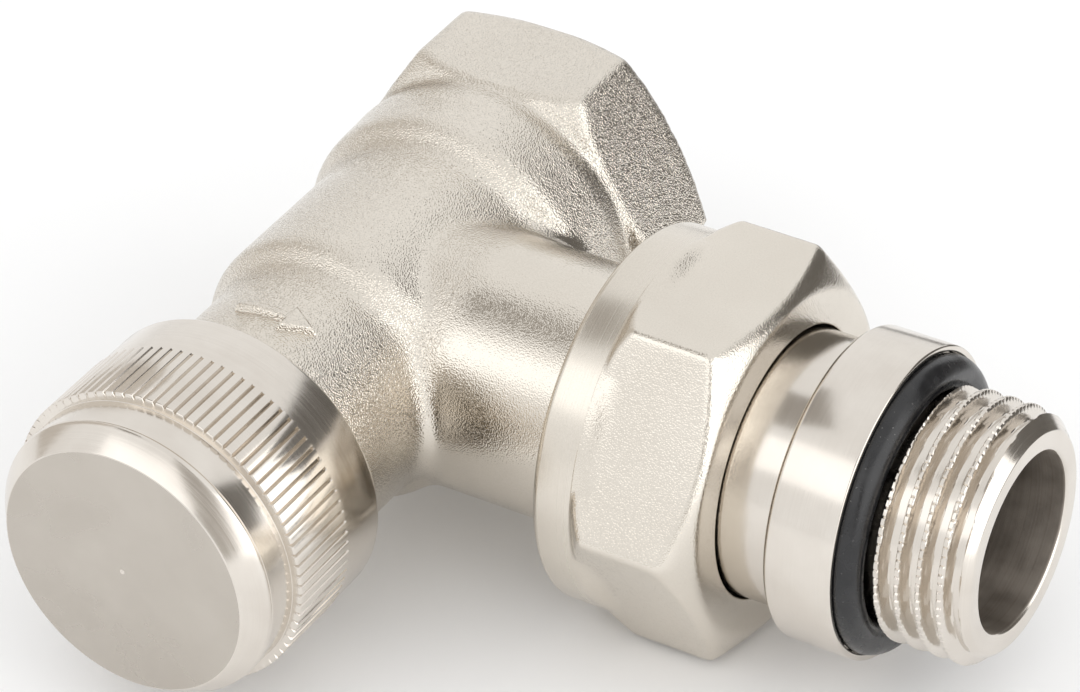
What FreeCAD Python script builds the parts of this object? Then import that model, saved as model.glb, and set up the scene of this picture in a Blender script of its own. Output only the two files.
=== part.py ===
import FreeCAD, Part
import os
import Sketcher

# Angle pattern lockshield radiator valve, half inch, in nickel plated brass.
# The two flow axes cross at the middle of the barrel: +X runs out through the tailpiece to the
# radiator, +Y runs out through the pipe socket to the wall and -Y through the protective cap.
# Every piece is drawn from that crossing, then placed so that the socket's thread starts at the origin.

SIZES = {
    # forged body, outside
    "pipe_reach": 27.5,
    "pipe_hex_flats": 27.2,
    "pipe_hex_length": 10.5,
    "drum_start": 8.4,
    "drum_step": 1.4,
    "drum_flare": 0.3,
    "barrel_step": 1.5,
    "neck_shoulder": 7.6,
    "neck_land": 0.6,
    "neck_length": 14.6,
    "branch_dia": 21.6,
    "forged_round": 2.2,
    "blend_rad": 1.6,
    "hex_face_inset": 0.2,
    # forged body, waterway
    "pipe_thread_bore": 20.955,
    "pipe_thread_depth": 13.0,
    "pipe_mouth_chamfer": 1.0,
    "seat_face": 7.4,
    "seat_rise": 1.2,
    "seat_width": 1.3,
    "port_dia": 10.0,
    "chamber_dia": 14.8,
    "branch_bore": 14.0,
    # union between body and tailpiece
    "union_reach": 32.3,
    "union_thread_dia": 26.44,
    "union_thread_length": 8.0,
    "nut_flats": 30.0,
    "nut_length": 14.1,
    "nut_collar_wall": 2.4,
    "nut_collar_width": 3.5,
    "nut_front_wall": 2.6,
    "nut_face_inset": 0.7,
    "nut_mouth_chamfer": 0.8,
    "ring_width": 1.4,
    "ring_rise": 1.3,
    "ring_depth": 1.1,
    "ring_stand": 1.3,
    "ring_gap": 3.0,
    # tailpiece
    "tail_reach": 58.45,
    "tail_dia": 22.2,
    "tail_bore": 14.8,
    "flange_dia": 25.8,
    "flange_width": 6.0,
    "flange_recess": 1.3,
    "flange_rim": 0.55,
    "tail_thread_dia": 20.955,
    "tail_thread_length": 8.35,
    "tail_thread_chamfer": 1.4,
    "tail_relief_depth": 1.2,
    "tail_mouth_chamfer": 0.2,
    "tail_seal_section": 3.0,
    "nose_dia": 19.2,
    "nose_length": 6.0,
    "union_seal_section": 1.2,
    "union_seal_place": 2.0,
    # headwork under the cap
    "neck_reach": 33.8,
    "bonnet_dia": 16.0,
    "bonnet_seat": 13.0,
    "bonnet_sunk": 1.2,
    "bonnet_slot": 2.4,
    "bonnet_slot_depth": 1.2,
    "bonnet_seal_section": 1.2,
    "bonnet_seal_place": 1.6,
    "spindle_dia": 10.0,
    "spindle_sunk": 7.8,
    "key_flats": 6.0,
    "key_depth": 4.0,
    "spindle_seal_section": 1.4,
    "spindle_seal_low": 15.4,
    "spindle_seal_pitch": 2.8,
    "lift": 4.0,
    "clip_width": 1.0,
    "clip_depth": 0.8,
    "clip_opening": 7.8,
    "cone_dia": 13.6,
    "cone_top": 5.0,
    "journal_dia": 6.0,
    "journal_length": 5.0,
    "washer_dia": 13.2,
    "washer_thick": 1.8,
    "screw_dia": 3.0,
    "screw_length": 5.0,
    "screw_head_dia": 5.6,
    "screw_head_thick": 1.4,
    # protective cap
    "cap_dia": 26.4,
    "cap_length": 16.6,
    "cap_thread_dia": 20.0,
    "cap_top_wall": 2.2,
    "cap_collar_width": 4.8,
    "cap_front_dia": 24.7,
    "cap_front_width": 5.0,
    "cap_chamfer": 1.5,
    "cap_chamfer_width": 1.9,
    "cap_mouth_depth": 3.0,
    "cap_mouth_room": 0.4,
    "cap_dimple_dia": 1.2,
    "cap_dimple_depth": 0.35,
    "knurl_count": 100,
    "knurl_depth": 0.38,
    "knurl_width": 0.5,
    "gasket_thick": 1.5,
    "gasket_dia": 19.0,
    "gasket_hole": 11.0,
    # fits
    "thread_play": 0.08,
    "running_play": 0.05,
    "seal_play": 0.03,
    "loose_play": 0.2,
    "edge_break": 0.4,
}

# Places along the two axes that several pieces share, each worked out from the sizes above.
NECK_RAD = "(dim.cap_thread_dia / 2 + dim.neck_land)"
BARREL_RAD = f"({NECK_RAD} + dim.barrel_step)"
DRUM_RAD = f"({BARREL_RAD} + dim.drum_step)"
DRUM_END_RAD = f"({DRUM_RAD} + dim.drum_flare)"
HEX_START = "(dim.pipe_reach - dim.pipe_hex_length)"
THREAD_START = "(dim.union_reach - dim.union_thread_length)"
NECK_THREAD = "(dim.neck_shoulder + dim.neck_length)"
CAP_FACE = "(dim.neck_reach + dim.gasket_thick + dim.cap_top_wall)"
CAP_MOUTH = "(dim.neck_reach + dim.gasket_thick + dim.cap_top_wall - dim.cap_length)"
KNURL_FRONT = "(dim.neck_reach + dim.gasket_thick + dim.cap_top_wall - dim.cap_front_width)"
RING_BACK = "(dim.union_reach + dim.ring_rise)"
NUT_COLLAR_RAD = "(dim.union_thread_dia / 2 + dim.thread_play + dim.nut_collar_wall)"
NUT_SHOULDER = "(dim.union_reach + dim.ring_rise + dim.ring_width)"
NUT_FRONT = "(dim.union_reach + dim.ring_rise + dim.ring_width + dim.nut_front_wall)"
NUT_BACK = "(dim.union_reach + dim.ring_rise + dim.ring_width + dim.nut_front_wall - dim.nut_length)"
TAIL_THREAD_START = "(dim.tail_reach - dim.tail_thread_length)"
FLANGE_FRONT = "(dim.tail_reach - dim.tail_thread_length - dim.tail_seal_section + dim.flange_recess)"
TAIL_SEAL_RAD = "(dim.tail_thread_dia / 2 - dim.tail_relief_depth)"
NOSE_END = "(dim.union_reach - dim.nose_length)"
BONNET_TOP = "(dim.neck_reach - dim.bonnet_sunk)"
SPINDLE_TOP = "(dim.neck_reach - dim.spindle_sunk)"
CLIP_LOW = "(dim.neck_reach - dim.spindle_sunk + dim.lift + dim.loose_play)"
WASHER_BACK = "(dim.seat_face - dim.washer_thick)"
SPINDLE_BORE = "(dim.spindle_dia / 2 + dim.running_play)"
CONE_TAN = "tan(30)"

doc = FreeCAD.newDocument("lockshield_valve")
dim = doc.addObject("Spreadsheet::Sheet", "dim")
for row, (alias, value) in enumerate(SIZES.items(), 1):
    dim.set(f"A{row}", alias)
    dim.set(f"B{row}", str(value))
    dim.setAlias(f"B{row}", alias)
doc.recompute()


def worth(expression):
    """The present value of an expression in the sheet's sizes."""
    return float(dim.evalExpression(expression))


def new_body(label):
    """An empty piece, moved so that the pipe socket's thread starts at the origin."""
    body = doc.addObject("PartDesign::Body", label)
    body.Label = label
    body.setExpression("Placement.Base.y", "dim.pipe_mouth_chamfer - dim.pipe_reach")
    return body


def sketch_on(body, role, name, offset=None):
    """A sketch on one of the body's own origin planes, moved along its normal by an expression."""
    plane = next(item for item in body.Origin.OriginFeatures if item.Role == role)
    sketch = body.newObject("Sketcher::SketchObject", name)
    sketch.AttachmentSupport = [(plane, "")]
    sketch.MapMode = "FlatFace"
    if offset is not None:
        sketch.setExpression("AttachmentOffset.Base.z", offset)
    return sketch


def pin_point(sketch, geometry, end, place):
    """Hold a point of the sketch at a place given by two expressions."""
    for kind, expression in zip(("DistanceX", "DistanceY"), place):
        number = sketch.addConstraint(Sketcher.Constraint(kind, -1, 1, geometry, end, worth(expression)))
        sketch.setExpression(f"Constraints[{number}]", expression)


def outline(sketch, corners):
    """A closed outline of straight lines through corners that are pairs of expressions."""
    points = [FreeCAD.Vector(worth(across), worth(along), 0) for across, along in corners]
    count = len(points)
    for index in range(count):
        sketch.addGeometry(Part.LineSegment(points[index], points[(index + 1) % count]))
    for index in range(count):
        sketch.addConstraint(Sketcher.Constraint("Coincident", index, 2, (index + 1) % count, 1))
    for index, corner in enumerate(corners):
        pin_point(sketch, index, 1, corner)


def circle(sketch, centre, radius):
    """A circle whose centre and radius are expressions."""
    middle = FreeCAD.Vector(worth(centre[0]), worth(centre[1]), 0)
    geometry = sketch.addGeometry(Part.Circle(middle, FreeCAD.Vector(0, 0, 1), worth(radius)))
    pin_point(sketch, geometry, 3, centre)
    number = sketch.addConstraint(Sketcher.Constraint("Radius", geometry, worth(radius)))
    sketch.setExpression(f"Constraints[{number}]", radius)


def hexagon(sketch, flats):
    """A hexagon with two flats level, across-flats size given by an expression."""
    corner = f"{flats} / sqrt(3)"
    half = f"{flats} / sqrt(3) / 2"
    level = f"{flats} / 2"
    outline(
        sketch,
        [
            (corner, "0"),
            (half, level),
            (f"-{half}", level),
            (f"-{corner}", "0"),
            (f"-{half}", f"-{level}"),
            (half, f"-{level}"),
        ],
    )


def spin(body, sketch, name, axis, kind="Revolution"):
    """Turn a sketch right round its upright (V_Axis) or level (H_Axis) line, adding or cutting."""
    feature = body.newObject(f"PartDesign::{kind}", name)
    feature.Profile = sketch
    feature.ReferenceAxis = (sketch, [axis])
    feature.Angle = 360
    sketch.Visibility = False
    body.Tip = feature
    return feature


def lathe(body, name, corners, axis="V_Axis", kind="Revolution"):
    """Turn an outline about the cap and pipe axis (V_Axis) or the tailpiece axis (H_Axis)."""
    sketch = sketch_on(body, "XY_Plane", f"{name}_profile")
    outline(sketch, corners)
    return spin(body, sketch, name, axis, kind)


def prism(body, sketch, name, length, kind="Pad", backwards=False):
    """Raise or cut a sketch by a length."""
    feature = body.newObject(f"PartDesign::{kind}", name)
    feature.Profile = sketch
    feature.setExpression("Length", length)
    feature.Reversed = backwards
    sketch.Visibility = False
    body.Tip = feature
    return feature


def soften(body, name, edges, size, kind="Fillet"):
    """Round or chamfer the named edges of the body's last feature."""
    base = body.Tip
    feature = body.newObject(f"PartDesign::{kind}", name)
    feature.Base = (base, edges)
    feature.setExpression("Radius" if kind == "Fillet" else "Size", size)
    body.Tip = feature
    return feature


def rings(shape, axis, places):
    """Names of the circular edges round X or Y at the given pairs of radius and position."""
    names = []
    for number, edge in enumerate(shape.Edges, 1):
        curve = edge.Curve
        if not isinstance(curve, Part.Circle):
            continue
        position = curve.Center.x if axis == "X" else curve.Center.y
        along = abs(curve.Axis.x if axis == "X" else curve.Axis.y)
        for radius, place in places:
            near = abs(curve.Radius - worth(radius)) < 1e-4 and abs(position - worth(place)) < 1e-4
            if along > 0.999 and near:
                names.append(f"Edge{number}")
    return names


def torus(label, centre_rad, position, section, axis):
    """An O-ring round the X or Y axis, from its mean radius, position and section."""
    body = new_body(label)
    sketch = sketch_on(body, "XY_Plane", f"{label}_section")
    centre = (position, centre_rad) if axis == "H_Axis" else (centre_rad, position)
    circle(sketch, centre, f"({section}) / 2")
    spin(body, sketch, f"{label}_ring", axis)
    return body


def crease_edges(shape):
    """Edges where the branch runs into the barrel: they lie on the branch's cylinder, off its ends."""
    radius = worth("dim.branch_dia / 2")
    limit = worth(THREAD_START) - 1
    names = []
    for number, edge in enumerate(shape.Edges, 1):
        if isinstance(edge.Curve, Part.Line):
            continue
        points = edge.discretize(7)
        on_branch = all(abs((p.y**2 + p.z**2) ** 0.5 - radius) < 1e-3 for p in points)
        if on_branch and all(p.x < limit for p in points):
            names.append(f"Edge{number}")
    return names


def valve_body():
    """Forged angle body: neck, barrel, seat drum and pipe hexagon on one axis, the branch on the other."""
    body = new_body("valve_body")
    neck_foot = "-dim.neck_shoulder - dim.barrel_step"
    drum_top = "dim.drum_start + dim.drum_step"
    lathe(
        body,
        "barrel",
        [
            ("0", "-dim.neck_reach"),
            ("dim.cap_thread_dia / 2 - dim.edge_break", "-dim.neck_reach"),
            ("dim.cap_thread_dia / 2", "-dim.neck_reach + dim.edge_break"),
            ("dim.cap_thread_dia / 2", f"-{NECK_THREAD}"),
            (NECK_RAD, f"-{NECK_THREAD}"),
            (NECK_RAD, neck_foot),
            (BARREL_RAD, "-dim.neck_shoulder"),
            (BARREL_RAD, "dim.drum_start"),
            (DRUM_RAD, drum_top),
            (DRUM_END_RAD, HEX_START),
            ("dim.pipe_hex_flats / 2 - dim.edge_break", HEX_START),
            ("dim.pipe_hex_flats / 2 - dim.edge_break", "dim.pipe_reach"),
            ("0", "dim.pipe_reach"),
        ],
    )
    doc.recompute()
    shoulders = [
        (NECK_RAD, neck_foot),
        (BARREL_RAD, "-dim.neck_shoulder"),
        (BARREL_RAD, "dim.drum_start"),
        (DRUM_RAD, drum_top),
    ]
    soften(body, "shoulder_rounds", rings(body.Tip.Shape, "Y", shoulders), "dim.forged_round")
    lathe(
        body,
        "branch",
        [
            ("0", "0"),
            ("0", "dim.branch_dia / 2"),
            (THREAD_START, "dim.branch_dia / 2"),
            (THREAD_START, "dim.union_thread_dia / 2 - 2 * dim.edge_break"),
            (f"{THREAD_START} + 2 * dim.edge_break", "dim.union_thread_dia / 2"),
            ("dim.union_reach - 2 * dim.edge_break", "dim.union_thread_dia / 2"),
            ("dim.union_reach", "dim.union_thread_dia / 2 - 2 * dim.edge_break"),
            ("dim.union_reach", "0"),
        ],
        axis="H_Axis",
    )
    doc.recompute()
    soften(body, "crease_blend", crease_edges(body.Tip.Shape), "dim.blend_rad")

    hex_sketch = sketch_on(body, "XZ_Plane", "pipe_hex_outline", f"-{HEX_START}")
    hexagon(hex_sketch, "dim.pipe_hex_flats")
    prism(body, hex_sketch, "pipe_hex", "dim.pipe_hex_length", backwards=True)
    rim = "(dim.pipe_hex_flats / sqrt(3) + 1)"
    lathe(
        body,
        "pipe_hex_slope",
        [
            (DRUM_END_RAD, HEX_START),
            (rim, HEX_START),
            (rim, f"{HEX_START} + {rim} - {DRUM_END_RAD}"),
        ],
        kind="Groove",
    )
    face = "(dim.pipe_hex_flats / 2 - dim.hex_face_inset)"
    lathe(
        body,
        "pipe_hex_chamfer",
        [
            (face, "dim.pipe_reach"),
            (rim, "dim.pipe_reach"),
            (rim, f"dim.pipe_reach - ({rim} - {face}) * {CONE_TAN}"),
        ],
        kind="Groove",
    )

    thread_rad = "dim.pipe_thread_bore / 2"
    thread_end = "(dim.pipe_reach - dim.pipe_mouth_chamfer - dim.pipe_thread_depth)"
    lathe(
        body,
        "pipe_way",
        [
            ("0", "dim.pipe_reach"),
            (f"{thread_rad} + dim.pipe_mouth_chamfer", "dim.pipe_reach"),
            (thread_rad, "dim.pipe_reach - dim.pipe_mouth_chamfer"),
            (thread_rad, thread_end),
            ("dim.port_dia / 2", f"{thread_end} - ({thread_rad} - dim.port_dia / 2) * {CONE_TAN}"),
            ("dim.port_dia / 2", "dim.seat_face"),
            ("dim.port_dia / 2 + dim.seat_width", "dim.seat_face"),
            ("dim.port_dia / 2 + dim.seat_width", "dim.seat_face + dim.seat_rise"),
            ("dim.chamber_dia / 2", "dim.seat_face + dim.seat_rise"),
            ("dim.chamber_dia / 2", "-dim.bonnet_seat"),
            ("dim.bonnet_dia / 2", "-dim.bonnet_seat"),
            ("dim.bonnet_dia / 2", "-dim.neck_reach"),
            ("0", "-dim.neck_reach"),
        ],
        kind="Groove",
    )
    socket_end = f"({NOSE_END} - dim.loose_play)"
    lathe(
        body,
        "branch_way",
        [
            ("0", "0"),
            ("0", "dim.branch_bore / 2"),
            (socket_end, "dim.branch_bore / 2"),
            (socket_end, "dim.nose_dia / 2 + dim.running_play"),
            ("dim.union_reach", "dim.nose_dia / 2 + dim.running_play"),
            ("dim.union_reach", "0"),
        ],
        axis="H_Axis",
        kind="Groove",
    )


def union_nut():
    """Hexagon union nut with a turned collar, threaded on the branch and loose on the tailpiece."""
    body = new_body("union_nut")
    hex_back = f"({NUT_BACK} + dim.nut_collar_width)"
    hex_sketch = sketch_on(body, "YZ_Plane", "nut_hex_outline", hex_back)
    hexagon(hex_sketch, "dim.nut_flats")
    prism(body, hex_sketch, "nut_hex", "dim.nut_length - dim.nut_collar_width")
    lathe(
        body,
        "nut_collar",
        [
            (NUT_BACK, "0"),
            (NUT_BACK, f"{NUT_COLLAR_RAD} - dim.edge_break"),
            (f"{NUT_BACK} + dim.edge_break", NUT_COLLAR_RAD),
            (f"{hex_back} + dim.edge_break", NUT_COLLAR_RAD),
            (f"{hex_back} + dim.edge_break", "0"),
        ],
        axis="H_Axis",
    )
    rim = "(dim.nut_flats / sqrt(3) + 1)"
    face = "(dim.nut_flats / 2 - dim.nut_face_inset)"
    lathe(
        body,
        "nut_front_chamfer",
        [
            (NUT_FRONT, face),
            (NUT_FRONT, rim),
            (f"{NUT_FRONT} - ({rim} - {face}) * {CONE_TAN}", rim),
        ],
        axis="H_Axis",
        kind="Groove",
    )
    lathe(
        body,
        "nut_back_chamfer",
        [
            (hex_back, NUT_COLLAR_RAD),
            (hex_back, rim),
            (f"{hex_back} + {rim} - {NUT_COLLAR_RAD}", rim),
        ],
        axis="H_Axis",
        kind="Groove",
    )
    bore = "dim.union_thread_dia / 2 + dim.thread_play"
    hole = "dim.tail_dia / 2 + dim.loose_play"
    lathe(
        body,
        "nut_bore",
        [
            (NUT_BACK, "0"),
            (NUT_BACK, f"{bore} + dim.nut_mouth_chamfer"),
            (f"{NUT_BACK} + dim.nut_mouth_chamfer", bore),
            (NUT_SHOULDER, bore),
            (NUT_SHOULDER, hole),
            (NUT_FRONT, hole),
            (NUT_FRONT, "0"),
        ],
        axis="H_Axis",
        kind="Groove",
    )


def tailpiece():
    """Turned tailpiece: nose in the branch, collar under the nut, flange, seal seat and radiator thread."""
    body = new_body("tailpiece")
    nose = "dim.nose_dia / 2"
    groove_floor = f"{nose} + dim.running_play - 2 * dim.seal_play - dim.union_seal_section"
    groove_low = f"{NOSE_END} + dim.union_seal_place"
    groove_high = f"{groove_low} + dim.union_seal_section + 2 * dim.seal_play"
    collar = "dim.tail_dia / 2"
    ring_floor = f"{collar} - dim.ring_depth"
    flange = "dim.flange_dia / 2"
    recess = f"{FLANGE_FRONT} - dim.flange_recess"
    thread = "dim.tail_thread_dia / 2"
    lathe(
        body,
        "tail_turning",
        [
            (NOSE_END, "dim.tail_bore / 2"),
            (NOSE_END, f"{nose} - dim.edge_break"),
            (f"{NOSE_END} + dim.edge_break", nose),
            (groove_low, nose),
            (groove_low, groove_floor),
            (groove_high, groove_floor),
            (groove_high, nose),
            ("dim.union_reach", nose),
            ("dim.union_reach", collar),
            (RING_BACK, collar),
            (RING_BACK, ring_floor),
            (NUT_SHOULDER, ring_floor),
            (NUT_SHOULDER, collar),
            (f"{FLANGE_FRONT} - dim.flange_width", collar),
            (f"{FLANGE_FRONT} - dim.flange_width", f"{flange} - dim.edge_break"),
            (f"{FLANGE_FRONT} - dim.flange_width + dim.edge_break", flange),
            (FLANGE_FRONT, flange),
            (FLANGE_FRONT, f"{flange} - dim.flange_rim"),
            (recess, f"{flange} - dim.flange_rim"),
            (recess, TAIL_SEAL_RAD),
            (TAIL_THREAD_START, TAIL_SEAL_RAD),
            (f"{TAIL_THREAD_START} + dim.tail_relief_depth / 2", thread),
            ("dim.tail_reach - dim.tail_thread_chamfer", thread),
            ("dim.tail_reach", f"{thread} - dim.tail_thread_chamfer"),
            ("dim.tail_reach", "dim.tail_bore / 2 + dim.tail_mouth_chamfer"),
            ("dim.tail_reach - dim.tail_mouth_chamfer", "dim.tail_bore / 2"),
        ],
        axis="H_Axis",
    )


def split_ring(label, name, corners, axis, gap, mean_rad):
    """A sprung ring with a gap, turned a little short of a full circle."""
    body = new_body(label)
    feature = lathe(body, name, corners, axis)
    feature.setExpression("Angle", f"360 - 180 * {gap} / (pi * {mean_rad})")


def tail_rings():
    """Sprung ring that pulls the tailpiece home under the nut, and the tailpiece's two seals."""
    inner = "dim.tail_dia / 2 - dim.ring_depth + dim.seal_play"
    outer = "dim.tail_dia / 2 + dim.ring_stand"
    corners = [(RING_BACK, inner), (RING_BACK, outer), (NUT_SHOULDER, outer), (NUT_SHOULDER, inner)]
    split_ring("tail_snap_ring", "tail_ring", corners, "H_Axis", "dim.ring_gap", "(dim.tail_dia / 2)")
    torus(
        "tailpiece_o_ring",
        f"{TAIL_SEAL_RAD} + dim.seal_play + dim.tail_seal_section / 2",
        f"{TAIL_THREAD_START} - dim.tail_seal_section / 2",
        "dim.tail_seal_section - 2 * dim.seal_play",
        "H_Axis",
    )
    torus(
        "union_o_ring",
        "dim.nose_dia / 2 + dim.running_play - dim.seal_play - dim.union_seal_section / 2",
        f"{NOSE_END} + dim.union_seal_place + dim.seal_play + dim.union_seal_section / 2",
        "dim.union_seal_section",
        "H_Axis",
    )


def bonnet():
    """Headwork insert screwed into the neck, with spanner slots and a seal, bored for the spindle."""
    body = new_body("bonnet")
    skin = "dim.bonnet_dia / 2 - dim.running_play"
    groove_floor = "dim.bonnet_dia / 2 - 2 * dim.seal_play - dim.bonnet_seal_section"
    groove_low = "dim.bonnet_seat + dim.bonnet_seal_place"
    groove_high = f"{groove_low} + dim.bonnet_seal_section + 2 * dim.seal_play"
    lathe(
        body,
        "bonnet_turning",
        [
            (SPINDLE_BORE, "-dim.bonnet_seat"),
            (skin, "-dim.bonnet_seat"),
            (skin, f"-({groove_low})"),
            (groove_floor, f"-({groove_low})"),
            (groove_floor, f"-({groove_high})"),
            (skin, f"-({groove_high})"),
            (skin, f"-{BONNET_TOP}"),
            (SPINDLE_BORE, f"-{BONNET_TOP}"),
            (SPINDLE_BORE, f"-({CLIP_LOW} + dim.clip_width)"),
            (f"{SPINDLE_BORE} + dim.clip_depth", f"-({CLIP_LOW} + dim.clip_width)"),
            (f"{SPINDLE_BORE} + dim.clip_depth", f"-{CLIP_LOW}"),
            (SPINDLE_BORE, f"-{CLIP_LOW}"),
        ],
    )
    slot = sketch_on(body, "XZ_Plane", "bonnet_slot_outline", BONNET_TOP)
    half = "dim.bonnet_slot / 2"
    reach = "dim.bonnet_dia"
    outline(slot, [(f"-{reach}", f"-{half}"), (reach, f"-{half}"), (reach, half), (f"-{reach}", half)])
    prism(body, slot, "bonnet_spanner_slot", "dim.bonnet_slot_depth", "Pocket")
    torus(
        "bonnet_o_ring",
        "dim.bonnet_dia / 2 - dim.seal_play - dim.bonnet_seal_section / 2",
        f"-({groove_low} + dim.seal_play + dim.bonnet_seal_section / 2)",
        "dim.bonnet_seal_section",
        "V_Axis",
    )


def spindle():
    """Regulating spindle with a key socket at its top, two seal grooves and a journal for the cone."""
    body = new_body("spindle")
    skin = "dim.spindle_dia / 2"
    groove_floor = f"{SPINDLE_BORE} - 2 * dim.seal_play - dim.spindle_seal_section"
    wide = "dim.spindle_seal_section + 2 * dim.seal_play"
    low = "dim.spindle_seal_low"
    high = "(dim.spindle_seal_low + dim.spindle_seal_pitch)"
    lathe(
        body,
        "spindle_turning",
        [
            ("0", "-dim.cone_top + dim.journal_length"),
            ("dim.journal_dia / 2", "-dim.cone_top + dim.journal_length"),
            ("dim.journal_dia / 2", "-dim.cone_top"),
            (skin, "-dim.cone_top"),
            (skin, f"-{low}"),
            (groove_floor, f"-{low}"),
            (groove_floor, f"-({low} + {wide})"),
            (skin, f"-({low} + {wide})"),
            (skin, f"-{high}"),
            (groove_floor, f"-{high}"),
            (groove_floor, f"-({high} + {wide})"),
            (skin, f"-({high} + {wide})"),
            (skin, f"-{SPINDLE_TOP} + dim.edge_break"),
            (f"{skin} - dim.edge_break", f"-{SPINDLE_TOP}"),
            ("0", f"-{SPINDLE_TOP}"),
        ],
    )
    key = sketch_on(body, "XZ_Plane", "key_outline", SPINDLE_TOP)
    hexagon(key, "dim.key_flats")
    prism(body, key, "key_socket", "dim.key_depth", "Pocket")
    for label, place in (("spindle_o_ring_lower", low), ("spindle_o_ring_upper", high)):
        torus(
            label,
            f"{SPINDLE_BORE} - dim.seal_play - dim.spindle_seal_section / 2",
            f"-({place} + dim.seal_play + dim.spindle_seal_section / 2)",
            "dim.spindle_seal_section",
            "V_Axis",
        )
    outer = f"{SPINDLE_BORE} + dim.clip_depth - dim.seal_play"
    inner = "dim.clip_opening / 2"
    top = f"-({CLIP_LOW} + dim.clip_width)"
    corners = [(inner, f"-{CLIP_LOW}"), (outer, f"-{CLIP_LOW}"), (outer, top), (inner, top)]
    split_ring("spindle_clip", "clip_ring", corners, "V_Axis", "dim.ring_gap", "(dim.spindle_dia / 2)")


def valve_cone():
    """Cone on the spindle's journal, which lifts it off the seat, with a washer held on by a screw."""
    body = new_body("valve_cone")
    socket = "dim.journal_dia / 2 + dim.running_play"
    socket_end = "-dim.cone_top + dim.journal_length + dim.loose_play"
    screw = "dim.screw_dia / 2 + dim.running_play"
    screw_end = "dim.seat_face - dim.screw_length - dim.loose_play"
    lathe(
        body,
        "cone_turning",
        [
            ("0", socket_end),
            (socket, socket_end),
            (socket, "-dim.cone_top"),
            ("dim.cone_dia / 2 - dim.edge_break", "-dim.cone_top"),
            ("dim.cone_dia / 2", "-dim.cone_top + dim.edge_break"),
            ("dim.cone_dia / 2", WASHER_BACK),
            (screw, WASHER_BACK),
            (screw, screw_end),
            ("0", screw_end),
        ],
    )
    washer = new_body("seat_washer")
    lathe(
        washer,
        "washer_disc",
        [
            (screw, WASHER_BACK),
            ("dim.washer_dia / 2", WASHER_BACK),
            ("dim.washer_dia / 2", "dim.seat_face"),
            (screw, "dim.seat_face"),
        ],
    )
    holder = new_body("washer_screw")
    head_end = "dim.seat_face + dim.screw_head_thick"
    lathe(
        holder,
        "screw_turning",
        [
            ("0", "dim.seat_face - dim.screw_length"),
            ("dim.screw_dia / 2", "dim.seat_face - dim.screw_length"),
            ("dim.screw_dia / 2", "dim.seat_face"),
            ("dim.screw_head_dia / 2", "dim.seat_face"),
            ("dim.screw_head_dia / 2", f"{head_end} - dim.edge_break"),
            ("dim.screw_head_dia / 2 - dim.edge_break", head_end),
            ("0", head_end),
        ],
    )


def protective_cap():
    """Turned cap on the neck: collar, straight knurl, stepped front with a chamfered face, gasket."""
    body = new_body("protective_cap")
    skin = "dim.cap_dia / 2"
    front = "dim.cap_front_dia / 2"
    thread = "dim.cap_thread_dia / 2 + dim.thread_play"
    mouth = f"{NECK_RAD} + dim.cap_mouth_room"
    mouth_end = f"-({CAP_MOUTH} + dim.cap_mouth_depth)"
    ceiling = "-(dim.neck_reach + dim.gasket_thick)"
    lathe(
        body,
        "cap_turning",
        [
            ("0", f"-{CAP_FACE} + dim.cap_dimple_depth"),
            ("dim.cap_dimple_dia / 2", f"-{CAP_FACE}"),
            (f"{front} - dim.cap_chamfer", f"-{CAP_FACE}"),
            (front, f"-{CAP_FACE} + dim.cap_chamfer_width"),
            (front, f"-{KNURL_FRONT}"),
            (skin, f"-{KNURL_FRONT}"),
            (skin, f"-({CAP_MOUTH} + dim.edge_break)"),
            (f"{skin} - dim.edge_break", f"-{CAP_MOUTH}"),
            (mouth, f"-{CAP_MOUTH}"),
            (mouth, mouth_end),
            (thread, mouth_end),
            (thread, ceiling),
            ("0", ceiling),
        ],
    )
    notch = sketch_on(body, "XZ_Plane", "knurl_notch", KNURL_FRONT)
    above = f"{skin} + dim.knurl_depth"
    outline(
        notch,
        [
            ("0", f"{skin} - dim.knurl_depth"),
            ("dim.knurl_width", above),
            ("-dim.knurl_width", above),
        ],
    )
    band = "dim.cap_length - dim.cap_front_width - dim.cap_collar_width"
    groove = prism(body, notch, "knurl_groove", band, "Pocket")
    knurl = body.newObject("PartDesign::PolarPattern", "knurl")
    knurl.Originals = [groove]
    knurl.Axis = (next(item for item in body.Origin.OriginFeatures if item.Role == "Y_Axis"), [""])
    knurl.Angle = 360
    knurl.setExpression("Occurrences", "dim.knurl_count")
    body.Tip = knurl

    gasket = new_body("cap_gasket")
    lathe(
        gasket,
        "gasket_disc",
        [
            ("dim.gasket_hole / 2", "-dim.neck_reach"),
            ("dim.gasket_dia / 2", "-dim.neck_reach"),
            ("dim.gasket_dia / 2", ceiling),
            ("dim.gasket_hole / 2", ceiling),
        ],
    )


valve_body()
union_nut()
tailpiece()
tail_rings()
bonnet()
spindle()
valve_cone()
protective_cap()
doc.recompute()

faults = [item.Name for item in doc.Objects if {"Invalid", "Error"} & set(item.State)]
if faults:
    raise ValueError(f"these features did not build: {faults}")

os.makedirs("parts", exist_ok=True)
for piece in doc.findObjects("PartDesign::Body"):
    if piece.Shape.isNull() or not piece.Shape.isValid() or len(piece.Shape.Solids) != 1:
        raise ValueError(f"{piece.Label} is not one sound solid")
    piece.Shape.exportStep(f"parts/{piece.Label}.step")
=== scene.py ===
import math

import bmesh
import bpy
import numpy as np
from mathutils import Matrix, Vector
from mathutils.bvhtree import BVHTree


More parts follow.
